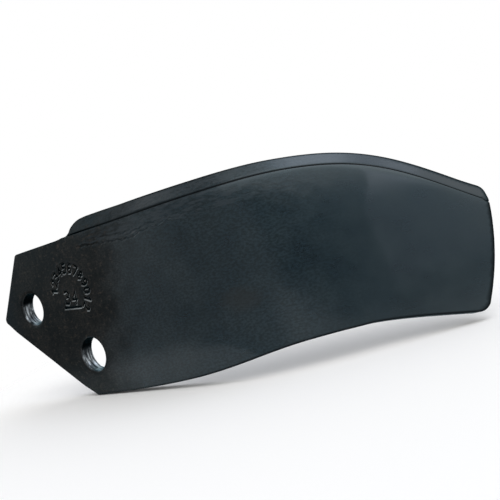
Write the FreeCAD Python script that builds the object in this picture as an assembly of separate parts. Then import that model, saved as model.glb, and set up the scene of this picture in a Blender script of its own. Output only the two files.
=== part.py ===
import math
import os

import FreeCAD
import Part

# A rotary tiller blade: one flat steel bar, cut to shape, drilled, given a
# forged cutting edge and bent once.
# Millimetres and degrees.  x runs along the bar towards the tip, z runs up
# towards the cutting edge, and y runs through the bar from the outer face,
# y = 0, to the inner face.  The origin is midway between the two bolt holes.

V = FreeCAD.Vector

# the bar
thickness = 7.0
top_z = 43.4            # plain upper edge of the shank
shank_corner = 2.5

# bolt holes
hole_d = 16.5
hole_pitch = 47.0
hole_turn = 36.0        # the row of holes falls this much towards the tip
side_margin = 20.0      # first hole to the slanting end of the shank
foot_margin = 18.5      # row of holes to the foot of the shank
rim_chamfer = 0.5

# the bend, its radius taken in the middle of the bar
bend_start = 72.0
bend_radius = 90.0
bend_angle = 44.0
bend_lean = 16.0        # the bend line leans this much from square

# the forged cutting edge
edge_width = 7.0
edge_step = 0.8         # step down at its shoulder
edge_land = 1.8         # thickness left at the cutting edge
edge_start = 33.0       # where it reaches its full width
edge_rise = 12.0        # length of its rounded start
edge_fillet = 1.5

# the flat blank, from the middle between the holes
reach = 216.0           # to the upper corner of the tip
tip_rake = 14.0         # the lower corner lies this far behind it
foot_x = 14.0           # where the back edge starts, near the foot
foot_z = -33.7
tip_bow = 2.7
tip_corner = 5.0
heel_corner = 6.0

# cutting edge and back edge, as (share of the run, rise)
cut_z = top_z + edge_width
cut_shape = [
    (0.0, 0.0),
    (0.1803, -0.2),
    (0.3443, 0.4),
    (0.5683, 1.9),
    (0.6940, 0.0),
    (0.7923, -5.0),
    (0.8907, -13.6),
    (1.0, -25.1),
]
back_shape = [
    (0.0, 0.0),
    (0.1649, 1.5),
    (0.3245, 3.6),
    (0.4628, 7.0),
    (0.5957, 10.9),
    (0.6330, 11.5),
    (0.7660, 12.3),
    (0.8936, 10.3),
    (1.0, 7.9),
]
cut_run = reach - edge_start
back_run = reach - tip_rake - foot_x
cut_line = [(edge_start + cut_run * share, cut_z + rise) for share, rise in cut_shape]
back_line = [(foot_x + back_run * share, foot_z + rise) for share, rise in back_shape]

# how far the bar is left over, and how far a cutter runs past the blade
spare = 20.0
overrun = 2.5 * spare
cutter_step = 9.0

outer_radius = bend_radius + thickness / 2
bend_turn = math.radians(bend_angle)
bend_end = bend_start + bend_radius * bend_turn
lean = math.radians(bend_lean)
along = V(math.cos(lean), 0, math.sin(lean))
bend_line = V(-along.z, 0, along.x)


def bent(flat, depth):
    """Where a point of the flat blank lies once the blade is bent."""
    s, t = flat.dot(along), flat.dot(bend_line)
    turn = min(max((s - bend_start) / bend_radius, 0.0), bend_turn)
    rest = max(s - bend_end, 0.0)
    r = outer_radius - depth
    reach = min(s, bend_start) + r * math.sin(turn) + rest * math.cos(turn)
    sink = outer_radius - r * math.cos(turn) + rest * math.sin(turn)
    return along * reach + bend_line * t + V(0, sink, 0)


def bent_bar():
    """The wide bent plate that the blade is cut from."""
    size = bend_end + 3 * overrun
    middle = (bend_start + bend_end) / 2
    stops = [-size, bend_start, middle, bend_end, size]
    a, b, c, d, e = [bent(along * s, 0) for s in stops]
    p, q, r, s, t = [bent(along * s, thickness) for s in stops]
    outline = Part.Wire([
        Part.makeLine(a, b),
        Part.Arc(b, c, d).toShape(),
        Part.makeLine(d, e),
        Part.makeLine(e, t),
        Part.makeLine(t, s),
        Part.Arc(s, r, q).toShape(),
        Part.makeLine(q, p),
        Part.makeLine(p, a),
    ])
    plate = Part.Face(outline).extrude(bend_line * (2 * size))
    plate.translate(bend_line * -size)
    return plate


def on_row(a, b):
    """The point a along the row of holes and b across it."""
    turn = math.radians(hole_turn)
    c, s = math.cos(turn), math.sin(turn)
    return V(a * c + b * s, 0, b * c - a * s)


def shank_window():
    """A tall block with the shank's outline, open towards the tip."""
    turn = math.radians(hole_turn)
    heel = on_row(-hole_pitch / 2 - side_margin, -foot_margin)
    shoulder = heel + V(math.tan(turn), 0, 1) * (top_z - heel.z)
    low = min(z for x, z in back_line) - spare
    high = max(z for x, z in cut_line) + spare
    right = cut_line[-1][0] + spare
    foot = heel + V(1 / math.tan(turn), 0, -1) * (heel.z - low)
    notch = V(edge_start - edge_rise, 0, top_z)
    crown = V(edge_start, 0, cut_z)
    rise = Part.Ellipse(notch, crown, V(edge_start, 0, top_z))
    over, far_top, far_low = V(edge_start, 0, high), V(right, 0, high), V(right, 0, low)
    outline = Part.Wire([
        Part.makeLine(foot, heel),
        Part.makeLine(heel, shoulder),
        Part.makeLine(shoulder, notch),
        Part.Arc(rise, 0, math.pi / 2).toShape(),
        Part.makeLine(crown, over),
        Part.makeLine(over, far_top),
        Part.makeLine(far_top, far_low),
        Part.makeLine(far_low, foot),
    ])
    depth = 2 * bend_end
    block = Part.Face(outline).extrude(V(0, depth, 0))
    block.translate(V(0, -depth / 4, 0))
    block = block.makeFillet(shank_corner, [upright(block, heel), upright(block, shoulder)])
    return block.makeFillet(edge_fillet, [upright(block, notch)])


def upright(block, place):
    """The edge that runs straight through the bar at this place."""
    def miss(edge):
        a, b = edge.Vertexes[0].Point, edge.Vertexes[-1].Point
        return max(math.hypot(p.x - place.x, p.z - place.z) for p in (a, b))
    return min(block.Edges, key=miss)


def smooth(points):
    curve = Part.BSplineCurve()
    curve.interpolate([V(x, 0, z) for x, z in points])
    return curve


def stations(curve):
    """Points and tangents along a line, run on straight past its ends."""
    length = curve.length()
    count = max(int(length / cutter_step), 4)
    places = []
    for i in range(count + 1):
        u = curve.parameterAtDistance(length * i / count, curve.FirstParameter)
        places.append((curve.value(u), curve.tangent(u)[0]))
    (first, start), (last, end) = places[0], places[-1]
    for i in range(int(overrun / cutter_step)):
        run = cutter_step * (i + 1)
        places.insert(0, (first - start * run, start))
        places.append((last + end * run, end))
    return places


def run_along(curve, corners, side):
    """A cutter run along an edge; its corners are (way out, depth)."""
    sections = []
    for point, tangent in stations(curve):
        out = V(-tangent.z, 0, tangent.x) * side
        ring = [bent(point + out * away, depth) for away, depth in corners]
        sections.append(Part.makePolygon(ring + ring[:1]))
    return Part.makeLoft(sections, True, False)


def trimmer(curve, side):
    """All that lies beyond an edge of the blank."""
    top, under = -thickness, 2 * thickness
    return run_along(curve, [(0, top), (0, under), (overrun, under), (overrun, top)], side)


def tip_curve():
    """The slightly bowed end of the tip, from the heel up."""
    low, high = V(back_line[-1][0], 0, back_line[-1][1]), V(cut_line[-1][0], 0, cut_line[-1][1])
    chord = high - low
    out = V(chord.z, 0, -chord.x).normalize()
    return Part.Arc(low, (low + high) / 2 + out * tip_bow, high)


def through_edge(shape, corner):
    """The short edge through the bar nearest a corner of the blank."""
    x, z = corner
    spot = bent(V(x, 0, z), thickness / 2)
    short = [e for e in shape.Edges if abs(e.Length - thickness) < thickness / 50]
    return min(short, key=lambda e: e.CenterOfMass.distanceToPoint(spot))


def forged_edge():
    """The metal driven off the outer face along the cutting edge."""
    slope = (thickness - edge_land - edge_step) / edge_width
    beyond = edge_width
    corners = [
        (-edge_width, -thickness),
        (-edge_width, edge_step),
        (beyond, thickness - edge_land + slope * beyond),
        (beyond, -thickness),
    ]
    return run_along(smooth(cut_line), corners, 1)


def bolt_hole(place):
    """One bolt hole with its rims lightly chamfered."""
    r = hole_d / 2
    wide = r + rim_chamfer
    start = place - V(0, thickness, 0)
    hole = Part.makeCylinder(r, 3 * thickness, start, V(0, 1, 0))
    front = Part.makeCone(wide, r, rim_chamfer, place, V(0, 1, 0))
    back = Part.makeCone(wide, r, rim_chamfer, place + V(0, thickness, 0), V(0, -1, 0))
    return hole.fuse([front, back])


def blade():
    shape = bent_bar().common(shank_window())
    shape = shape.cut(trimmer(smooth(cut_line), 1))
    shape = shape.cut(trimmer(smooth(back_line), -1))
    shape = shape.cut(trimmer(tip_curve(), -1))
    shape = max(shape.Solids, key=lambda piece: piece.Volume)
    turn = math.tan(math.radians(hole_turn))
    heel = on_row(-hole_pitch / 2 - side_margin, -foot_margin)
    foot = (heel.x + (heel.z - foot_z) / turn, foot_z)
    for corner, radius in (
        (cut_line[-1], tip_corner),
        (back_line[-1], heel_corner),
        (foot, shank_corner),
    ):
        shape = shape.makeFillet(radius, [through_edge(shape, corner)])
    shape = shape.cut(forged_edge())
    for side in (-1, 1):
        shape = shape.cut(bolt_hole(on_row(side * hole_pitch / 2, 0)))
    return shape.Solids[0]


os.makedirs("parts", exist_ok=True)
blade().exportStep("parts/blade.step")
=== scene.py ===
import math

import bmesh
import bpy
import numpy as np
from mathutils import Matrix, Vector
from mathutils.geometry import delaunay_2d_cdt
from mathutils.kdtree import KDTree


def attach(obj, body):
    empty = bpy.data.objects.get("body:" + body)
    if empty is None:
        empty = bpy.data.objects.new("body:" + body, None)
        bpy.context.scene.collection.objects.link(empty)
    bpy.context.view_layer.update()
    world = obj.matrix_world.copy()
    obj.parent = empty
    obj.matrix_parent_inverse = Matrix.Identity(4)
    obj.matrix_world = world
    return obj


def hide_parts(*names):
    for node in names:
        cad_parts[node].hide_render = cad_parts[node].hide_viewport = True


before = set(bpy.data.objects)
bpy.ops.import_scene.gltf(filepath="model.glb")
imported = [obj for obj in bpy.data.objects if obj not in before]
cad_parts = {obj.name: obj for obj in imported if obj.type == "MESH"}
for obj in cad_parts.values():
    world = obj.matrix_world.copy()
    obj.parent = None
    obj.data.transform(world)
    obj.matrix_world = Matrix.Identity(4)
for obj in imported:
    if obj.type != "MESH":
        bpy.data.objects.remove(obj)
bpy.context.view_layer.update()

# The blade is laid out flat, in millimetres: x along the bar towards the tip,
# z up towards the cutting edge, w down into the bar from its outer face.

# Sizes of the solid
THICK = 7.0
TOP_Z = 43.4
HOLE_R = 8.25
HOLE_PITCH = 47.0
HOLE_TURN = math.radians(36.0)
SIDE_MARGIN = 20.0
FOOT_MARGIN = 18.5
SHANK_CORNER = 2.5
BEND_START = 72.0
BEND_R = 90.0
BEND_TURN = math.radians(44.0)
BEND_LEAN = math.radians(16.0)
EDGE_W = 7.0
EDGE_LAND = 1.8
TIP_BOW = 2.7
HEEL_CORNER = 6.0
CUT_Z = TOP_Z + EDGE_W

# Sizes of the forged surface, which lies just inside the solid
EDGE_START = 33.0
EDGE_RISE = 12.0        # length of the arc by which the strip starts
FLARE_RISE = 1.7        # height at which that arc takes over from the flare
START_CORNER = 0.9
TIP_CORNER = 5.0
STRIP_STEP = 1.25       # the strip's fall from the face, groove not counted
GROOVE_DEPTH = 0.40
SKIN = 0.10             # the faces lie this far inside the solid's faces
TRIM = 0.03             # the walls lie this far inside the outline
RIM = 0.6               # width of the rounded rim of a hole
LIP = 0.30              # how far the face falls off beside the strip, in each of two slopes
SOFT, SOFT_EDGE = 0.38, 0.25                # rounding of the outer rim, and along the cutting edge
SOFT_UNDER, SOFT_UNDER_EDGE = 0.6, 0.22     # the same for the inner rim
FULL_FOOT = 0.66        # how far the trimmed outline bulges in places
FULL_BACK = 0.38
FULL_TIP = 0.48
FULL_START = 1.0
FULL_HEEL = 0.22
DRAWN_OUT = 0.84        # how far the strip runs out past the tip
STRIP_CORNER = (214.8, 24.2)
OUTLINE_STEP = 0.55
LEAD_IN = 12            # how far rows along the strip start before the cutting edge

CUT_LINE = [
    (EDGE_START, CUT_Z), (66.0, CUT_Z - 0.2), (96.0, CUT_Z + 0.4),
    (137.0, CUT_Z + 1.9), (160.0, CUT_Z), (178.0, CUT_Z - 5.0),
    (196.0, CUT_Z - 13.6), (216.0, CUT_Z - 25.1),
]
BACK_LINE = [
    (14.0, -33.7), (45.0, -32.2), (75.0, -30.1), (101.0, -26.7), (126.0, -22.8),
    (133.0, -22.2), (158.0, -21.4), (182.0, -23.4), (202.0, -25.8),
]

rng = np.random.default_rng(7)


# Lines and curves

def unit(v):
    return v / np.hypot(v[..., 0], v[..., 1])[..., None]


def ease(x, lo, hi):
    """A smooth change from 0 to 1 while x goes from lo to hi."""
    t = np.clip((x - lo) / (hi - lo), 0, 1)
    return t * t * (3 - 2 * t)


def plateau(x, rise, fall):
    """1 between a smooth rise and a smooth fall, each given as (from, to)."""
    return ease(x, *rise) * (1 - ease(x, *fall))


def bell(x, middle, width):
    return np.exp(-((x - middle) / width) ** 2)


def smoothed(values, times):
    """Values round a closed row, each averaged with its neighbours."""
    for _ in range(times):
        values = (values + np.roll(values, 1) + np.roll(values, -1)) / 3
    return values


def run_along(line):
    """The way along a polyline to each of its points."""
    return np.r_[0, np.cumsum(np.hypot(*np.diff(line, axis=0).T))]


def spline(points, step=0.5):
    """A smooth line through the points, as a fine polyline."""
    p = np.array(points, float)
    t = run_along(p)
    n = len(p)
    h = np.diff(t)
    a = np.zeros((n, n))
    b = np.zeros((n, 2))
    a[0, :3] = h[1], -(h[0] + h[1]), h[0]
    a[-1, -3:] = h[-1], -(h[-2] + h[-1]), h[-2]
    for i in range(1, n - 1):
        a[i, i - 1:i + 2] = h[i - 1], 2 * (h[i - 1] + h[i]), h[i]
        b[i] = 6 * ((p[i + 1] - p[i]) / h[i] - (p[i] - p[i - 1]) / h[i - 1])
    m = np.linalg.solve(a, b)
    u = np.linspace(0, t[-1], int(t[-1] / step) + 1)
    k = np.clip(np.searchsorted(t, u, side="right") - 1, 0, n - 2)
    hk = h[k][:, None]
    x = (u - t[k])[:, None]
    y = hk - x
    return ((m[k] * y ** 3 + m[k + 1] * x ** 3) / (6 * hk)
            + (p[k] / hk - m[k] * hk / 6) * y + (p[k + 1] / hk - m[k + 1] * hk / 6) * x)


def straight(a, b, step=0.5):
    """The way from a to b as a fine polyline."""
    a, b = np.array(a, float), np.array(b, float)
    n = max(int(np.hypot(*(b - a)) / step), 1)
    return a + (b - a) * np.linspace(0, 1, n + 1)[:, None]


def arc_through(a, m, b, step=0.4):
    """The arc from a by way of m to b, as a fine polyline."""
    a, m, b = (np.array(p, float) for p in (a, m, b))
    d = 2 * (a[0] * (m[1] - b[1]) + m[0] * (b[1] - a[1]) + b[0] * (a[1] - m[1]))
    sa, sm, sb = a @ a, m @ m, b @ b
    c = np.array([
        sa * (m[1] - b[1]) + sm * (b[1] - a[1]) + sb * (a[1] - m[1]),
        sa * (b[0] - m[0]) + sm * (a[0] - b[0]) + sb * (m[0] - a[0]),
    ]) / d
    r = np.hypot(*(a - c))
    ang = np.unwrap([math.atan2(*(q - c)[::-1]) for q in (a, m, b)])
    n = max(int(abs(ang[2] - ang[0]) * r / step), 4)
    t = np.linspace(ang[0], ang[2], n + 1)
    return c + r * np.stack([np.cos(t), np.sin(t)], 1)


def cut_back(line, length):
    """A polyline shortened at its end."""
    d = run_along(line)
    stop = d[-1] - length
    k = int(np.searchsorted(d, stop))
    w = (stop - d[k - 1]) / (d[k] - d[k - 1])
    return np.vstack([line[:k], line[k - 1] + w * (line[k] - line[k - 1])])


def joined(first, second, radius):
    """Two polylines joined by a round corner."""
    corner = first[-1]
    u = unit(first[-2] - first[-1])
    v = unit(second[1] - second[0])
    half = math.acos(np.clip(u @ v, -1, 1)) / 2
    run = radius / math.tan(half)
    a = cut_back(first, run)
    b = cut_back(second[::-1], run)[::-1]
    mid = unit(u + v)
    centre = corner + mid * radius / math.sin(half)
    arc = arc_through(a[-1], centre - mid * radius, b[0], 0.3)
    return np.vstack([a, arc[1:-1], b])


def resample(closed, step):
    """Evenly spaced points on a closed line."""
    pts = np.vstack([closed, closed[:1]])
    pts = pts[np.r_[True, np.diff(run_along(pts)) > 1e-6]]
    d = run_along(pts)
    u = np.linspace(0, d[-1], int(d[-1] / step), endpoint=False)
    return np.stack([np.interp(u, d, pts[:, 0]), np.interp(u, d, pts[:, 1])], 1)


def turned_in(closed):
    """Unit vectors that point into the blank, square to its outline."""
    run = unit(np.roll(closed, -1, 0) - np.roll(closed, 1, 0))
    return np.stack([-run[:, 1], run[:, 0]], 1)


# Outline of the flat blank

def on_row(a, b):
    """The point a along the row of holes and b across it."""
    c, s = math.cos(HOLE_TURN), math.sin(HOLE_TURN)
    return np.array([a * c + b * s, b * c - a * s])


def strip_start():
    """The flare and the arc by which the strip leaves the shank's upper edge."""
    quarter = np.linspace(0, math.pi / 2, 40)
    arc = np.stack([EDGE_START - EDGE_RISE * np.cos(quarter), TOP_Z + EDGE_W * np.sin(quarter)], 1)
    arc = arc[arc[:, 1] > TOP_Z + FLARE_RISE]
    flare = spline([
        (11.0, TOP_Z), (14.0, TOP_Z + 0.08), (17.0, TOP_Z + 0.36), (19.4, TOP_Z + 0.88),
        (arc[0, 0], TOP_Z + FLARE_RISE),
    ])
    return flare, arc


def tip_line():
    """The slightly bowed end of the tip, from the cutting edge down."""
    low, high = np.array(BACK_LINE[-1]), np.array(CUT_LINE[-1])
    chord = high - low
    out = np.array([chord[1], -chord[0]]) / np.hypot(*chord)
    return arc_through(high, (low + high) / 2 + out * TIP_BOW, low)


def plain_outline():
    """The outline as it is laid out, a closed line."""
    heel = on_row(-HOLE_PITCH / 2 - SIDE_MARGIN, -FOOT_MARGIN)
    shoulder = heel + np.array([math.tan(HOLE_TURN), 1]) * (TOP_Z - heel[1])
    foot_z = BACK_LINE[0][1]
    foot = np.array([heel[0] + (heel[1] - foot_z) / math.tan(HOLE_TURN), foot_z + 0.04])
    back = spline(BACK_LINE)
    back = np.vstack([foot, back[back[:, 0] > foot[0] + 0.2]])
    flare, start_arc = strip_start()
    line = joined(straight(foot, heel), straight(heel, shoulder), SHANK_CORNER)
    line = joined(line, straight(shoulder, flare[0]), SHANK_CORNER)
    line = joined(np.vstack([line, flare[1:]]), start_arc, START_CORNER)
    line = joined(np.vstack([line, cut[1:]]), tip_line(), TIP_CORNER)
    line = joined(line, back[::-1], HEEL_CORNER)
    half = len(line) // 2
    return joined(line[half:], line[:half + 1], SHANK_CORNER)


def fullness(outline):
    """How far the trimmed outline bulges at the foot, back, tip, strip's start and heel."""
    x, z = outline.T
    row_x = x * math.cos(HOLE_TURN) - z * math.sin(HOLE_TURN)
    row_z = x * math.sin(HOLE_TURN) + z * math.cos(HOLE_TURN)
    foot = FULL_FOOT * plateau(row_x, (-41, -32), (21, 30)) * (row_z < -17.5)
    back = FULL_BACK * plateau(x, (22, 50), (148, 158)) * (z < -15)
    tip = FULL_TIP * np.maximum(1 - ((z + 5) / 26) ** 2, 0) * ease(x, 196, 201) * (z > -24)
    start = FULL_START * plateau(x, (20.4, 22.4), (40, 58)) * (1 - 0.75 * ease(x, 24.5, 31.5))
    heel = FULL_HEEL * bell(np.hypot(x - 201.5, z + 25.5), 0, 3)
    return smoothed(foot + back + tip + start * (z > TOP_Z + 1.4) + heel, 4)


def strip_end(outline):
    """At the tip the strip is drawn out a little past the end, on the outer side."""
    x, z = outline.T
    length = DRAWN_OUT + 0.22 * ease(z, 18.2, 19.8) - 0.26 * ease(z, 20.0, 23.5)
    length = length * ease(z, 17.3, 18.3) * ease(x, 207, 212)
    corner = 0.62 * bell(np.hypot(*(outline - STRIP_CORNER).T), 0, 3.0)
    return length[:, None] * np.array([0.964, -0.264]) + corner[:, None] * np.array([0.88, 0.47])


cut = spline(CUT_LINE)
edge = resample(plain_outline(), OUTLINE_STEP)
area = 0.5 * np.sum(edge[:, 0] * np.roll(edge[:, 1], -1) - np.roll(edge[:, 0], -1) * edge[:, 1])
if area < 0:
    edge = edge[::-1]
edge = edge - turned_in(edge) * fullness(edge)[:, None]
drawn_out = strip_end(edge)
edge = edge + drawn_out
inward = turned_in(edge)
holes = [on_row(side * HOLE_PITCH / 2, 0) for side in (-1, 1)]

# the cutting edge run on straight past both ends, to measure from
before = cut[0] - unit(cut[1] - cut[0]) * 60
beyond = cut[-1] + unit(cut[-1] - cut[-2]) * 40
coarse_cut = np.vstack([before, cut[::4], cut[-1], beyond])


def from_cut(p):
    """How far points lie in from the cutting edge, below 0 outside it."""
    best = np.full(len(p), np.inf)
    sign = np.ones(len(p))
    for a, b in zip(coarse_cut[:-1], coarse_cut[1:]):
        d = b - a
        q = p - a
        t = np.clip((q @ d) / (d @ d), 0, 1)
        r = q - t[:, None] * d
        dist = np.hypot(r[:, 0], r[:, 1])
        closer = dist < best
        side = -(d[0] * q[:, 1] - d[1] * q[:, 0])
        sign = np.where(closer, np.where(side >= 0, 1, -1), sign)
        best = np.where(closer, dist, best)
    return best * sign


def smooth_noise(p, scale, seed, terms=24):
    """Gentle unevenness between -1 and 1 with waves about scale long."""
    r = np.random.default_rng(seed)
    ang = r.uniform(0, 2 * math.pi, terms)
    freq = 2 * math.pi / scale * r.uniform(0.6, 1.6, terms)
    phase = r.uniform(0, 2 * math.pi, terms)
    k = np.stack([np.cos(ang), np.sin(ang)]) * freq
    return np.sin(p @ k + phase).sum(1) / math.sqrt(terms) / 1.5


# Stamped ring of plain numbers, each drawn as strokes 1 wide and 1.6 high

GLYPHS = {
    "0": [[
        (.5, 0), (.12, .3), (.05, .8), (.12, 1.3), (.5, 1.6), (.88, 1.3), (.95, .8), (.88, .3), (.5, 0),
    ]],
    "1": [[(.2, 1.25), (.55, 1.6), (.55, 0)]],
    "2": [[(.08, 1.2), (.3, 1.58), (.7, 1.58), (.92, 1.2), (.75, .85), (.05, 0), (.95, 0)]],
    "3": [
        [(.08, 1.5), (.5, 1.6), (.88, 1.3), (.7, .9), (.4, .85)],
        [(.7, .9), (.92, .4), (.6, .02), (.08, .1)],
    ],
    "4": [[(.72, 0), (.72, 1.6), (.05, .5), (.95, .5)]],
    "5": [[(.88, 1.6), (.15, 1.6), (.1, .9), (.6, 1.0), (.92, .6), (.75, .1), (.35, 0), (.05, .15)]],
    "6": [[
        (.85, 1.45), (.5, 1.6), (.12, 1.1), (.08, .4), (.4, 0), (.8, .1), (.92, .5), (.65, .85), (.15, .7),
    ]],
    "7": [[(.05, 1.6), (.95, 1.6), (.4, 0)]],
    "8": [[
        (.5, .85), (.12, 1.2), (.5, 1.6), (.88, 1.2), (.5, .85), (.08, .4), (.5, 0), (.92, .4), (.5, .85),
    ]],
    "9": [[
        (.15, .15), (.5, 0), (.88, .5), (.92, 1.2), (.6, 1.6), (.2, 1.5), (.08, 1.1), (.35, .75), (.85, .9),
    ]],
}
GLYPH_MIDDLE = (.5, .8)
RING_AT = np.array([14.0, 17.3])
RING_R = 12.1
RING_FIRST = 168.0      # degrees round the ring from its right-hand side
RING_TURN = 19.0
RING_SIZE = 2.7
INNER_SIZE = 3.9
INNER_TURN = math.radians(-6)
STAMP_DEPTH = 0.62
strokes = []


def stamp_glyph(glyph, at, turn, size):
    """One number as strokes on the flat blank; turn 0 stands it upright."""
    c, s = math.cos(turn), math.sin(turn)
    for run in GLYPHS[glyph]:
        p = (np.array(run) - GLYPH_MIDDLE) * size
        p = np.stack([p[:, 0] * c - p[:, 1] * s, p[:, 0] * s + p[:, 1] * c], 1) + at
        strokes.extend(zip(p[:-1], p[1:]))


for i, glyph in enumerate("123456789012"):
    a = math.radians(RING_FIRST - RING_TURN * i)
    at = RING_AT + RING_R * np.array([math.cos(a), math.sin(a)])
    stamp_glyph(glyph, at, a - math.pi / 2, RING_SIZE)
stamp_glyph("3", RING_AT + (-3.3, -2.0), INNER_TURN, INNER_SIZE)
stamp_glyph("4", RING_AT + (2.0, -2.4), INNER_TURN, INNER_SIZE)
strokes.append((RING_AT + (-7.0, -6.6), RING_AT + (5.4, -7.6)))


def stroke_gap(p):
    """How far points lie from the nearest stroke of the stamp."""
    best = np.full(len(p), np.inf)
    for a, b in strokes:
        d = b - a
        t = np.clip(((p - a) @ d) / (d @ d), 0, 1)
        r = p - a - t[:, None] * d
        best = np.minimum(best, np.hypot(r[:, 0], r[:, 1]))
    return best


def stamp(p):
    """Depth of the stamped strokes, with the metal raised beside them."""
    g = stroke_gap(p)
    return STAMP_DEPTH * (1 - ease(g, 0.30, 0.80)) - 0.08 * bell(g, 0.98, 0.22)


# Forging wrinkles: a broken line under the shoulder, with two short ones by it

WRINKLE = np.array([
    (27, 37.2), (33, 36.9), (40, 36.1), (51, 35.1), (57, 34.3), (62, 34.1), (68, 35.0),
    (75, 35.9), (80, 35.3), (85, 36.6), (89, 36.0), (95, 36.2),
])
WRINKLE_LINES = (       # how far above the line, from x, to x, depth, seed
    (0.0, 26, 95, 0.50, 3),
    (1.5, 58, 90, 0.30, 5),
    (2.6, 36, 66, 0.16, 9),
)


def wrinkles(p):
    x, z = p.T
    depth = np.zeros(len(p))
    base = np.interp(x, *WRINKLE.T)
    for lift, x0, x1, deep, seed in WRINKLE_LINES:
        level = base + lift + 0.24 * np.sin(x * 0.9 + seed) + 0.14 * np.sin(x * 2.3 + 2 * seed)
        ripple = np.sin(x * 1.35 + seed * 1.7) + np.sin(x * 0.37 + seed)
        gate = plateau(x, (x0, x0 + 5), (x1 - 6, x1)) * (0.40 + 0.60 * ease(ripple, -0.6, 0.6))
        depth += gate * deep * (bell(z - level, 0, 0.30) - 0.3 * bell(z - level, 0.75, 0.42))
    return depth


# The surfaces, as depths below the bar's outer face

def face_depth(p):
    """The outer surface: the sloping strip, and the face with its lip, stamp and wrinkles."""
    x, z = p.T
    gap = from_cut(p)
    slope = (THICK - EDGE_LAND - STRIP_STEP) / EDGE_W
    strip = THICK - EDGE_LAND - slope * gap + GROOVE_DEPTH * bell(gap, EDGE_W - 0.42, 0.30)
    on_strip = 1 - ease(gap, EDGE_W - 0.12, EDGE_W + 0.02)
    past = np.maximum(gap - EDGE_W, 0)
    lip = LIP * np.exp(-past / 0.9) + LIP * np.exp(-past / 7.0)
    lip = lip * ease(x, 8, 30) * (1 - 0.55 * ease(x, 170, 200))
    waves = 0.03 * (1 + smooth_noise(p, 26, 1)) + 0.012 * smooth_noise(p, 7, 2)
    calm = 1 - 0.8 * ease(x, 135, 158)
    depth = on_strip * strip + (1 - on_strip) * (lip + wrinkles(p)) + SKIN + calm * waves
    near = (np.abs(x - RING_AT[0]) < 19) & (np.abs(z - RING_AT[1]) < 18)
    depth[near] += stamp(p[near])
    return depth


def under_depth(p):
    """The inner surface, nearly flat."""
    return THICK - SKIN - 0.03 * (1 + smooth_noise(p, 24, 11)) - 0.012 * smooth_noise(p, 8, 12)


def bent(p, w):
    """Where points of the flat blank lie once it is bent, in metres."""
    al = np.array([math.cos(BEND_LEAN), math.sin(BEND_LEAN)])
    ln = np.array([-al[1], al[0]])
    s, t = p @ al, p @ ln
    turn = np.clip((s - BEND_START) / BEND_R, 0, BEND_TURN)
    rest = np.maximum(s - BEND_START - BEND_R * BEND_TURN, 0)
    outer = BEND_R + THICK / 2
    r = outer - w
    reach = np.minimum(s, BEND_START) + r * np.sin(turn) + rest * np.cos(turn)
    sink = outer - r * np.cos(turn) + rest * np.sin(turn)
    return np.stack([al[0] * reach + ln[0] * t, sink, al[1] * reach + ln[1] * t], 1) / 1000


# Points and faces of the mesh

BLANK_BOX = (-46, 220, -36, 54)         # from x, to x, from z, to z
WRINKLE_BOX = (26, 97, 32.6, 42.8)
STAMP_BOX = (RING_AT[0] - 16, RING_AT[0] + 16, RING_AT[1] - 12.5, RING_AT[1] + 15.6)
FACE_STEP = 1.15
WRINKLE_GRID = 0.40
STAMP_GRID = 0.21
UNDER_STEP = 2.2
JITTER = 0.08           # as a share of the grid's step
STRIP_ROWS = (7.9, 7.45, 7.15, 7.02, 6.94, 6.86, 6.7, 6.5, 6.2, 5.4)
HOLE_POINTS = 112
verts, faces, blank = [], [], []


def inside(p, poly):
    """Which points lie inside a closed row."""
    x, y = p.T
    hit = np.zeros(len(p), bool)
    for (x0, y0), (x1, y1) in zip(poly, np.roll(poly, -1, 0)):
        if y0 != y1:
            hit ^= ((y0 > y) != (y1 > y)) & (x < (x1 - x0) * (y - y0) / (y1 - y0) + x0)
    return hit


def in_box(p, box):
    x, z = p.T
    return (x > box[0]) & (x < box[1]) & (z > box[2]) & (z < box[3])


def hex_grid(box, step):
    """Points in rows that are half a step apart sideways, slightly uneven."""
    x0, x1, z0, z1 = box
    xs = np.arange(x0, x1, step)
    zs = np.arange(z0, z1, step * 0.866)
    g = np.array([(x + (0.5 * step if j % 2 else 0), z) for j, z in enumerate(zs) for x in xs])
    return g + rng.uniform(-JITTER, JITTER, g.shape) * step


def clear_of_holes(p, gap):
    for h in holes:
        p = p[np.hypot(*(p - h).T) > HOLE_R + RIM + gap]
    return p


def ring(centre, r):
    a = np.linspace(0, 2 * math.pi, HOLE_POINTS, endpoint=False)
    return centre + r * np.stack([np.cos(a), np.sin(a)], 1)


def add_points(flat, w):
    """Points of the flat blank added to the mesh, as a row of their numbers."""
    start = len(verts)
    verts.extend(bent(flat, w))
    blank.extend(np.column_stack([flat, w]))
    return np.arange(start, start + len(flat))


def band(a, b):
    """Quads between two closed rows of points."""
    n = len(a)
    for i in range(n):
        j = (i + 1) % n
        faces.append((a[i], a[j], b[j], b[i]))


def next_row(last, flat, w):
    """A further closed row of points, joined to the last one by a band."""
    row = add_points(flat, w)
    band(last, row)
    return row


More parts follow.
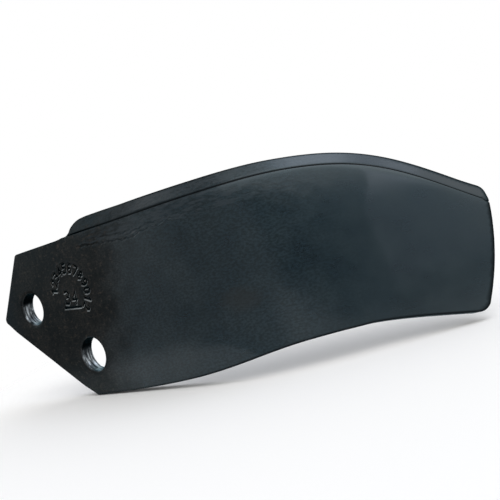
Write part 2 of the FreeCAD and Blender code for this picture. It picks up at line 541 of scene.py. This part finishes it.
def web(closed_rows, open_rows, fill, depth_of):
    """A triangulated face inside the first closed row and round the others.

    Returns the numbers of the points on each closed row."""
    links = []
    start = 0
    for row in closed_rows:
        n = len(row)
        links += [(start + i, start + (i + 1) % n) for i in range(n)]
        start += n
    for row in open_rows:
        links += [(start + i, start + i + 1) for i in range(len(row) - 1)]
        start += len(row)
    flat = np.vstack([*closed_rows, *open_rows, fill])
    out = delaunay_2d_cdt([Vector(p) for p in flat.tolist()], links, [], 1, 1e-5)
    new = np.array([tuple(v) for v in out[0]])
    tri = np.array([f for f in out[2] if len(f) == 3])
    mid = new[tri].mean(1)
    keep = inside(mid, closed_rows[0])
    for row in closed_rows[1:]:
        keep &= ~inside(mid, row)
    tri = tri[keep]
    used = np.unique(tri)
    index = np.full(len(new), -1)
    index[used] = add_points(new[used], depth_of(new[used]))
    faces.extend(tuple(index[t]) for t in tri)
    ends = np.cumsum([len(row) for row in closed_rows])
    ordered = np.full(ends[-1], -1)
    for k, origins in enumerate(out[3]):
        for o in origins:
            if o < ends[-1]:
                ordered[o] = index[k]
    return np.split(ordered, ends[:-1])


def strip_rows():
    """Rows of points along the strip's shoulder and groove."""
    run = unit(np.gradient(cut, axis=0))
    across = np.stack([run[:, 1], -run[:, 0]], 1)
    lead_in = straight(cut[0] - (LEAD_IN, 0), cut[0])[:-1]
    line = np.vstack([lead_in, cut])
    across = np.vstack([np.tile(across[:1], (len(lead_in), 1)), across])
    core = edge + inward * 1.25
    rows = []
    for away in STRIP_ROWS:
        row = line + across * away
        kept = np.flatnonzero(inside(row, core))
        if len(kept):
            rows.append(row[kept[0]:kept[-1] + 1])
    return rows


def face_fill():
    """Points spread over the outer face, dense by the stamp and the wrinkles."""
    plain = hex_grid(BLANK_BOX, FACE_STEP)
    fine = hex_grid(STAMP_BOX, STAMP_GRID)
    wrinkled = hex_grid(WRINKLE_BOX, WRINKLE_GRID)
    plain = plain[~in_box(plain, WRINKLE_BOX) & (stroke_gap(plain) >= 1.25)]
    fill = np.vstack([plain, fine[stroke_gap(fine) < 1.15], wrinkled])
    fill = fill[inside(fill, edge + inward * 1.5)]
    gap = from_cut(fill)
    fill = clear_of_holes(fill[(gap > 8.2) | (gap < 5.0)], 0.7)
    return np.vstack([fill, edge + inward * 0.72, edge + inward * 1.08])


# how far the rims are rounded, less along the cutting edge
on_edge = from_cut(edge) < EDGE_W - 0.05
soft = smoothed(np.where(on_edge, SOFT_EDGE, SOFT), 3)
soft_under = smoothed(np.where(on_edge, SOFT_UNDER_EDGE, SOFT_UNDER), 3)
under_edge = edge - drawn_out
hole_rims = [ring(h, HOLE_R + RIM) for h in holes]

# outer face
rim_row = edge + inward * (TRIM + soft)[:, None]
outer = web([rim_row] + hole_rims, strip_rows(), face_fill(), face_depth)
face_count = len(verts)

# inner face
under_row = under_edge + inward * (TRIM + soft_under)[:, None]
under_fill = hex_grid(BLANK_BOX, UNDER_STEP)
under_fill = under_fill[inside(under_fill, under_edge + inward * 1.8)]
inner = web([under_row] + hole_rims, [], clear_of_holes(under_fill, 1.2), under_depth)

# walls, with a rounded rim at each face
face_w = np.array([blank[i][2] for i in outer[0]])
under_w = np.array([blank[i][2] for i in inner[0]])
wall_top = face_w + soft
wall_drop = under_w - soft_under - wall_top
walls_from = len(verts)
row = outer[0]
for phi in np.radians([67.5, 45, 22.5, 0]):
    flat = edge + inward * (TRIM + soft * (1 - math.cos(phi)))[:, None]
    row = next_row(row, flat, face_w + soft * (1 - math.sin(phi)))
for part in (0.5, 1.0):
    row = next_row(row, edge - drawn_out * part + inward * TRIM, wall_top + wall_drop * part)
for phi in np.radians([30, 60]):
    flat = under_edge + inward * (TRIM + soft_under * (1 - math.cos(phi)))[:, None]
    row = next_row(row, flat, under_w - soft_under * (1 - math.sin(phi)))
walls_to = len(verts)
band(row, inner[0])

# bores, as (way out from the bore, depth)
BORE_PROFILE = (
    (0.5, SKIN + 0.10), (0.16, 0.50), (0.06, 0.72), (0.02, 1.0), (0.02, 2.4), (0.02, 4.0),
    (0.02, 5.6), (0.02, 6.2), (0.08, 6.45), (0.35, 6.74), (0.6, THICK - SKIN - 0.08),
)
for h, top, bottom in zip(holes, outer[1:], inner[1:]):
    row = top
    for out, w in BORE_PROFILE:
        row = next_row(row, ring(h, HOLE_R + out), np.full(HOLE_POINTS, w))
    band(row, bottom)

# Marks that the material reads from the mesh's points

laid = np.array(blank)
flat, depth = laid[:, :2], laid[:, 2]
outer_side = depth < 4.0


def painted_rim_shade():
    """Painted shade on the walls and the faces' border, broadest around the tip."""
    dark = np.zeros(len(laid))
    dark[walls_from:walls_to] = 1.0
    tree = KDTree(len(edge))
    for i, (x, z) in enumerate(edge):
        tree.insert((x, z, 0), i)
    tree.balance()
    x, z = flat[:face_count].T
    from_edge = np.array([tree.find((*p, 0))[2] for p in flat[:face_count]])
    out_there = np.maximum(ease(z, 15, 19), ease(x, 196, 204))
    border = 1 - ease(from_edge / (1 + 0.7 * ease(x, 165, 195) * out_there), 0.45, 1.05)
    dark[:face_count] = border * (0.5 + 0.5 * ease(x, 20, 90))
    return dark


def groove_mark():
    """The groove beside the strip's shoulder, painted dark: dark scale in it, and painted shade in its
    corner.
    """
    wide = 0.46
    off = np.abs(from_cut(flat) - (EDGE_W - 0.08 - wide))
    return (1 - ease(off, wide * 0.75, wide * 1.3)) * outer_side * (flat[:, 0] > 15)


def stamp_marks():
    """The stamp's strokes, painted dark as shade in their hollows, and a painted highlight on their lower
    right.
    """
    stamped = np.zeros(len(laid))
    stamp_highlight = np.zeros(len(laid))
    near = (np.hypot(*(flat - RING_AT).T) < 20) & outer_side
    low_right = np.array([0.16, -0.22])
    gap = stroke_gap(flat[near])
    facing = (gap - stroke_gap(flat[near] - low_right)) / np.hypot(*low_right)
    stamped[near] = 1 - ease(gap, 0.36, 0.54)
    stamp_highlight[near] = plateau(gap, (0.40, 0.52), (0.82, 1.08)) * ease(facing, 0.1, 0.8)
    return stamped, stamp_highlight


def bore_marks():
    """The walls of the holes, and the lower left of each, which is bare metal."""
    bore = np.zeros(len(laid))
    bare_side = np.zeros(len(laid))
    for h in holes:
        q = flat - h
        r = np.hypot(*q.T)
        wall = 1 - ease(r, HOLE_R + 0.05, HOLE_R + 0.25)
        low_side = (-0.45 * q[:, 0] - 0.9 * q[:, 1]) / HOLE_R
        bore = np.maximum(bore, wall)
        bare_side = np.maximum(bare_side, wall * ease(low_side, -0.1, 0.45))
    return bore, bare_side


def forged_mesh():
    """The blade's smooth mesh with its marks."""
    stamped, stamp_highlight = stamp_marks()
    bore, bare_side = bore_marks()
    mesh = bpy.data.meshes.new("blade_forged")
    mesh.from_pydata([tuple(v) for v in verts], [], [tuple(int(i) for i in f) for f in faces])
    marks = np.column_stack([groove_mark(), stamped, bore])
    for name, values in (("blank", laid), ("marks", marks)):
        layer = mesh.attributes.new(name, "FLOAT_VECTOR", "POINT")
        layer.data.foreach_set("vector", values.astype(np.float32).ravel())
    for name, values in (("stamp_highlight", stamp_highlight), ("rims", painted_rim_shade()), ("bare_side", bare_side)):
        layer = mesh.attributes.new(name, "FLOAT", "POINT")
        layer.data.foreach_set("value", values.astype(np.float32))
    bm = bmesh.new()
    bm.from_mesh(mesh)
    bmesh.ops.recalc_face_normals(bm, faces=bm.faces)
    open_edges = sum(1 for e in bm.edges if not e.is_manifold)
    bm.to_mesh(mesh)
    bm.free()
    mesh.polygons.foreach_set("use_smooth", [True] * len(mesh.polygons))
    print("blade faces", len(mesh.polygons), "open edges", open_edges)
    return mesh


blade = bpy.data.objects.new("blade_forged", forged_mesh())
bpy.context.scene.collection.objects.link(blade)
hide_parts("blade")
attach(blade, "root")


# Helpers for the materials and the studio

def empty_tree(owner):
    owner.use_nodes = True
    owner.node_tree.nodes.clear()
    return owner.node_tree


def is_output(value):
    return isinstance(value, bpy.types.NodeSocket)


def tree_of(*values):
    """The tree of the first of the values that is a node's output."""
    return next(v.id_data for v in values if is_output(v))


def node(tree, kind, inputs=None, **settings):
    """A node; each input gets a number, a vector, a colour or a node's output."""
    n = tree.nodes.new("ShaderNode" + kind)
    for key, value in settings.items():
        setattr(n, key, value)
    for key, value in (inputs or {}).items():
        socket = n.inputs[key]
        if is_output(value):
            tree.links.new(value, socket)
        elif socket.type == "RGBA":
            socket.default_value = (*value, 1)
        else:
            socket.default_value = value
    return n


def calc(operation, *values):
    n = node(tree_of(*values), "Math", dict(enumerate(values)), operation=operation)
    return n.outputs[0]


def times(a, b):
    return calc("MULTIPLY", a, b)


def plus(a, b):
    return calc("ADD", a, b)


def minus(a, b):
    return calc("SUBTRACT", a, b)


def larger(a, b):
    return calc("MAXIMUM", a, b)


def ramp(value, lo, hi, a=0.0, b=1.0):
    """A smooth change from a to b while the value goes from lo to hi."""
    inputs = {"Value": value, "From Min": lo, "From Max": hi, "To Min": a, "To Max": b}
    return node(tree_of(value), "MapRange", inputs, interpolation_type="SMOOTHSTEP").outputs[0]


def mix(amount, a, b):
    """Colour a, with an amount of colour b over it."""
    n = node(tree_of(amount), "Mix", {0: amount, 6: a, 7: b}, data_type="RGBA")
    return n.outputs[2]


# Dark steel

BLUE_DARK = (0.0034, 0.0068, 0.0098)
BLUE = (0.0056, 0.0100, 0.0138)
BLUE_LIGHT = (0.0070, 0.0112, 0.0142)
BROWN_DARK = (0.0050, 0.0040, 0.0036)
BROWN = (0.0125, 0.0102, 0.0088)
BROWN_SCALE = (0.036, 0.027, 0.021)
SHANK_END = (0.0085, 0.0110, 0.0140)
HAMMERED = (0.0190, 0.0235, 0.0285)
STRIP_SCALE = (0.0165, 0.0205, 0.0245)
HEAT_STAIN = (0.0125, 0.0100, 0.0085)
# pale colour of the painted highlight beside the stamped strokes
STAMP_HIGHLIGHT = (0.42, 0.45, 0.46)
# near black, for the groove's dark scale and for painted shade
SCALE_AND_SHADE = (0.0012, 0.0013, 0.0015)
BORE_DARK = (0.0015, 0.0016, 0.0018)
BARE = (0.60, 0.66, 0.70)
SHEEN = (0.58, 0.88, 1.0)
BUMP_UNIT = 0.001       # heights are in millimetres

mat = bpy.data.materials.new("dark_steel")
nt = empty_tree(mat)


def painted(name, output="Fac"):
    """The values of this name on the mesh's points."""
    return node(nt, "Attribute", attribute_name=name).outputs[output]


blank_at = painted("blank", "Vector")
x_at, z_at, w_at = node(nt, "SeparateXYZ", {0: blank_at}).outputs
groove, stamped, bore = node(nt, "SeparateXYZ", {0: painted("marks", "Vector")}).outputs
bare_side, stamp_highlight, rims = painted("bare_side"), painted("stamp_highlight"), painted("rims")


def noise(size, detail, rough=0.5, stretch=(1, 1, 1), offset=(0, 0, 0)):
    """Noise on the flat blank whose features are about size millimetres long."""
    inputs = {"Vector": blank_at, "Location": offset, "Scale": tuple(v / size for v in stretch)}
    place = node(nt, "Mapping", inputs).outputs[0]
    inputs = {"Vector": place, "Scale": 1.0, "Detail": detail, "Roughness": rough}
    return node(nt, "TexNoise", inputs).outputs[0]


def off_middle(place, middle, reach):
    """The square of the way from the middle, counted in reaches."""
    return calc("POWER", calc("DIVIDE", minus(place, middle), reach), 2)


patches = noise(38, 1.5)
mottle = noise(13, 2.5, offset=(3, 8, 1))
swell = noise(9, 1.5, offset=(7, 1, 4))
smear = noise(3.6, 2.0, offset=(1, 5, 2))
scale_spots = noise(2.6, 3.0, 0.65, offset=(5, 1, 9))
drawn = noise(1.8, 2.0, stretch=(0.12, 1, 1), offset=(9, 2, 5))
grain = noise(1.5, 3.0, 0.6)
coarse = noise(1.1, 2.0, 0.6, stretch=(0.7, 1, 1), offset=(8, 2, 6))
hammer = noise(1.0, 2.0, 0.6, stretch=(0.22, 1, 1), offset=(6, 3, 2))
streak = noise(0.9, 3.0, 0.65, stretch=(0.16, 0.16, 1), offset=(2, 7, 3))
leather = noise(0.8, 2.0, 0.6, stretch=(0.6, 1, 1), offset=(4, 6, 8))

# where the shank, the tip, the strip and the band under its shoulder lie
uneven = times(minus(mottle, 0.5), 34)
shank = ramp(minus(plus(x_at, uneven), times(z_at, 0.28)), 26, 58, 1, 0)
to_tip = ramp(x_at, 118, 165)
on_strip = times(ramp(w_at, 1.1, 1.5), ramp(w_at, 5.5, 5.9, 1, 0))
on_strip = times(on_strip, ramp(x_at, 120, 180, 1.0, 0.3))
under_shoulder = times(ramp(z_at, 34.2, 36.6), ramp(x_at, 24, 40))
under_shoulder = times(under_shoulder, ramp(x_at, 95, 150, 1, 0.25))

# the shank is warm and dark, the blade blue-black
blue = mix(ramp(patches, 0.36, 0.64), BLUE_DARK, BLUE)
blue = mix(ramp(mottle, 0.35, 0.75), blue, BLUE_LIGHT)
warm = mix(ramp(mottle, 0.38, 0.62), BROWN_DARK, BROWN)
warm = mix(ramp(scale_spots, 0.50, 0.72, 0.0, 0.75), warm, BROWN_SCALE)
warm = mix(ramp(x_at, -28, -42, 0.0, 0.8), warm, SHANK_END)
steel = mix(shank, blue, warm)
leather = ramp(leather, 0.34, 0.66, 0.50, 1.75)
leather = plus(1.0, times(minus(leather, 1.0), ramp(x_at, 120, 165, 1.0, 0.1)))
steel = node(nt, "VectorMath", {0: steel, "Scale": leather}, operation="SCALE").outputs[0]

# hammered streaks under the shoulder, and a coarse scale on the strip
streaks = times(ramp(hammer, 0.46, 0.60), times(under_shoulder, 0.85))
steel = mix(streaks, steel, HAMMERED)
speckle = times(ramp(coarse, 0.46, 0.62), times(on_strip, 0.75))
steel = mix(speckle, steel, STRIP_SCALE)

# brown heat stain by the middle
stain = plus(off_middle(x_at, 108.0, 9.0), off_middle(z_at, -2.0, 6.0))
stain = ramp(plus(stain, times(mottle, 1.4)), 0.7, 2.0, 0.5, 0)
steel = mix(stain, steel, HEAT_STAIN)

# painted shade in the groove (with its dark scale), in the stamped marks and along the rims
# painted highlight on the lower right of the stamped strokes
steel = mix(times(stamp_highlight, ramp(mottle, 0.35, 0.6, 0.5, 1.0)), steel, STAMP_HIGHLIGHT)
midway = times(ramp(x_at, 22, 50), ramp(x_at, 165, 200, 1, 0))
# the groove darker: dark scale, and painted shade in its corner
black = times(groove, minus(1.0, times(midway, 0.28)))
# painted shade in the stamped hollows
black = larger(black, times(stamped, 0.95))
# painted shade along the walls and the faces' border
black = larger(black, times(rims, 0.8))
steel = mix(black, steel, SCALE_AND_SHADE)
# the bores dark, the lower left of each bare metal
bare = times(bare_side, ramp(streak, 0.40, 0.66, 0.10, 1.0))
bare = times(bare, ramp(smear, 0.38, 0.62, 0.22, 1.0))
steel = mix(bore, steel, BORE_DARK)
steel = mix(bare, steel, BARE)

metal = larger(times(bore, 0.95), black)
metal = larger(metal, times(shank, 0.6))
rough = plus(ramp(mottle, 0.3, 0.7, 0.27, 0.34), times(shank, 0.08))
rough = plus(rough, times(minus(drawn, 0.5), 0.08))
rough = larger(rough, times(groove, 0.8))
rough = larger(rough, times(rims, 0.6))
rough = larger(rough, times(times(bore, minus(1.0, bare_side)), 0.95))
open_face = minus(1.0, larger(black, bore))
oiled = times(minus(0.38, times(shank, 0.27)), open_face)

height = times(swell, minus(0.05, times(to_tip, 0.046)))
grain_height = plus(minus(0.025, times(to_tip, 0.023)), times(on_strip, 0.085))
height = plus(height, times(grain, grain_height))
height = plus(height, times(drawn, 0.006))
height = plus(height, times(hammer, times(under_shoulder, 0.085)))
bump = node(nt, "Bump", {"Strength": 1.0, "Distance": BUMP_UNIT, "Height": height})

shader = node(nt, "BsdfPrincipled", {
    "Base Color": steel, "Metallic": metal, "Roughness": rough, "Normal": bump.outputs[0],
    "Specular IOR Level": 0.36, "Specular Tint": SHEEN, "Coat Weight": oiled, "Coat Roughness": 0.05,
})
node(nt, "OutputMaterial", {0: shader.outputs[0]})
blade.data.materials.append(mat)

# Floor: white paper under the blade, which fades out further away

FLOOR_GAP = 0.0003
FLOOR_AT = (0.1, 0.05)
FLOOR_R = 2.5
FLOOR_SIDES = 96
PAPER = (0.945, 0.94, 0.93)
FRONT_LEFT = (-0.82, -0.57, 0)

floor_z = min(v[2] for v in verts) - FLOOR_GAP
around = np.linspace(0, 2 * math.pi, FLOOR_SIDES, endpoint=False)
disc = [(FLOOR_AT[0] + FLOOR_R * math.cos(a), FLOOR_AT[1] + FLOOR_R * math.sin(a), floor_z) for a in around]
floor_mesh = bpy.data.meshes.new("floor")
floor_mesh.from_pydata(disc, [], [tuple(range(FLOOR_SIDES))])
floor = bpy.data.objects.new("floor", floor_mesh)
bpy.context.scene.collection.objects.link(floor)
floor_mat = bpy.data.materials.new("floor")
ft = empty_tree(floor_mat)
place = node(ft, "NewGeometry").outputs["Position"]
away = node(ft, "VectorMath", {0: place, 1: (*FLOOR_AT, floor_z)}, operation="DISTANCE")
aside = node(ft, "VectorMath", {0: place, 1: FRONT_LEFT}, operation="DOT_PRODUCT")
fade = larger(ramp(away.outputs["Value"], 0.26, 0.9), ramp(aside.outputs["Value"], 0.0, 0.12))
paper = node(ft, "BsdfDiffuse", {"Color": PAPER})
clear = node(ft, "BsdfTransparent")
blend = node(ft, "MixShader", {0: fade, 1: paper.outputs[0], 2: clear.outputs[0]})
node(ft, "OutputMaterial", {0: blend.outputs[0]})
floor.data.materials.append(floor_mat)

# Studio, set out by direction in degrees: azimuth from -Y towards +X, and height

ALL = 500               # past any direction
NEUTRAL, COOL = (1.0, 1.0, 1.0), (0.95, 1.0, 1.12)
WHITE = (1.0, 1.0, 1.0)
ROOM = (0.42, 0.42, 0.42)
BOX_EDGE = 64.45        # left edge of the side box, which leans over to the right
BOX_UPRIGHT = 21.5      # height up to which that edge stands upright
BOX_LEAN = 0.60
PANELS = (              # azimuth, height, softness of each, brightness, tint
    ((-ALL, ALL), (-ALL, -8), (1, 6), 0.30, NEUTRAL),
    ((-ALL, ALL), (30, ALL), (1, 6), 0.66, NEUTRAL),
    ((-ALL, 15), (60, 78), (9, 5), 0.42, NEUTRAL),
    ((-60, 8), (-ALL, -1), (8, 4), 0.27, NEUTRAL),
    ((-125, -60), (-ALL, 6), (7, 6), 0.03, NEUTRAL),            # black card, low on the left
    ((-110, -56), (6, 34), (8, 6), 0.80, NEUTRAL),
    ((-110, -30), (30, 52), (9, 6), 0.31, NEUTRAL),
    ((-66, -50), (43, 58), (4, 3), 0.80, NEUTRAL),
    ((-50, -22), (1, 20), (7, 5), 0.58, NEUTRAL),               # narrow box, front left
    ((15, ALL), (26, ALL), (10, 3.5), 1.50, NEUTRAL),           # large box overhead, right
    ((15, ALL), (42, ALL), (12, 10), 2.30, NEUTRAL),
    ((18, ALL), (-8, 10), (8, 3), 0.95, NEUTRAL),
    ((28, BOX_EDGE), (12, 25), (6, 3), 0.04, NEUTRAL),          # black card, right
    ((BOX_EDGE, 110), (13.2, ALL), (0.12, 1.2), 0.72, COOL),    # side box
    ((BOX_EDGE, 110), (24.2, ALL), (0.15, 2.6), 3.25, COOL),
    ((74, 110), (16, ALL), (5, 4), 1.35, NEUTRAL),
    ((72, 110), (30, ALL), (5, 4), 2.80, NEUTRAL),
    ((104, ALL), (18, 50), (6, 3), 0.84, NEUTRAL),              # boxes behind, right
    ((104, ALL), (45, 84), (12, 5), 1.22, COOL),
    ((104, ALL), (61, 74), (12, 4), 2.80, COOL),
    ((110, ALL), (44, 50.5), (8, 2), 1.62, COOL),
    ((-ALL, -130), (30, 84), (12, 8), 0.90, NEUTRAL),           # box behind, left
    ((-ALL, ALL), (78, ALL), (1, 3), 0.84, NEUTRAL),            # ceiling
)

world = bpy.data.worlds.new("studio")
bpy.context.scene.world = world
wt = empty_tree(world)
toward = node(wt, "TexCoord").outputs["Generated"]
wx, wy, wz = node(wt, "SeparateXYZ", {0: toward}).outputs
azimuth = times(calc("ARCTAN2", wx, times(wy, -1.0)), 180 / math.pi)
climb = times(calc("ARCSINE", wz), 180 / math.pi)
box_azimuth = minus(azimuth, times(larger(minus(climb, BOX_UPRIGHT), 0.0), BOX_LEAN))


def panel(across, az, el, soft_az, soft_el):
    """A soft-edged window in the room, as a mask."""
    a = ramp(across, az[0] - soft_az, az[0] + soft_az)
    b = ramp(across, az[1] - soft_az, az[1] + soft_az, 1, 0)
    c = ramp(climb, el[0] - soft_el, el[0] + soft_el)
    d = ramp(climb, el[1] - soft_el, el[1] + soft_el, 1, 0)
    return times(times(a, b), times(c, d))


room = ROOM
for az, el, softness, bright, tint in PANELS:
    across = box_azimuth if az[0] == BOX_EDGE else azimuth
    room = mix(panel(across, az, el, *softness), room, tuple(bright * c for c in tint))

# the backdrop is white to the camera, to gloss and through glass
behind = larger(ramp(azimuth, 94, 104), ramp(azimuth, -116, -106, 1, 0))
behind = times(behind, ramp(climb, 15, 21, 1, 0))
room = mix(behind, room, WHITE)
rays = node(wt, "LightPath")
gloss_rays = larger(rays.outputs["Is Glossy Ray"], rays.outputs["Is Transmission Ray"])
seen = larger(rays.outputs["Is Camera Ray"], times(gloss_rays, behind))
light = node(wt, "Background", {"Color": mix(seen, room, WHITE), "Strength": 1.0})
node(wt, "OutputWorld", {0: light.outputs[0]})

# Camera of the photograph: rotation vector and place found from the holes' rims

PHOTO_SIDE = 500
SENSOR = 36
CAM_F = 567.7715
CAM_ROT = Vector((1.5946, 0.2877, -0.6712))
CAM_AT = Vector((-93.4023, 40.2635, 281.1657))
spin = Matrix.Rotation(CAM_ROT.length, 3, CAM_ROT.normalized())
flip = Matrix(((1, 0, 0), (0, -1, 0), (0, 0, -1)))
to_world = (flip @ spin).transposed()
cam = bpy.data.cameras.new("camera")
cam.sensor_width = SENSOR
cam.lens = CAM_F / PHOTO_SIDE * SENSOR
cam.clip_start = 0.01
cam_o = bpy.data.objects.new("camera", cam)
cam_o.matrix_world = Matrix.Translation(-(spin.transposed() @ CAM_AT) / 1000) @ to_world.to_4x4()
bpy.context.scene.collection.objects.link(cam_o)
bpy.context.scene.camera = cam_o
bpy.context.scene.view_settings.view_transform = "Standard"
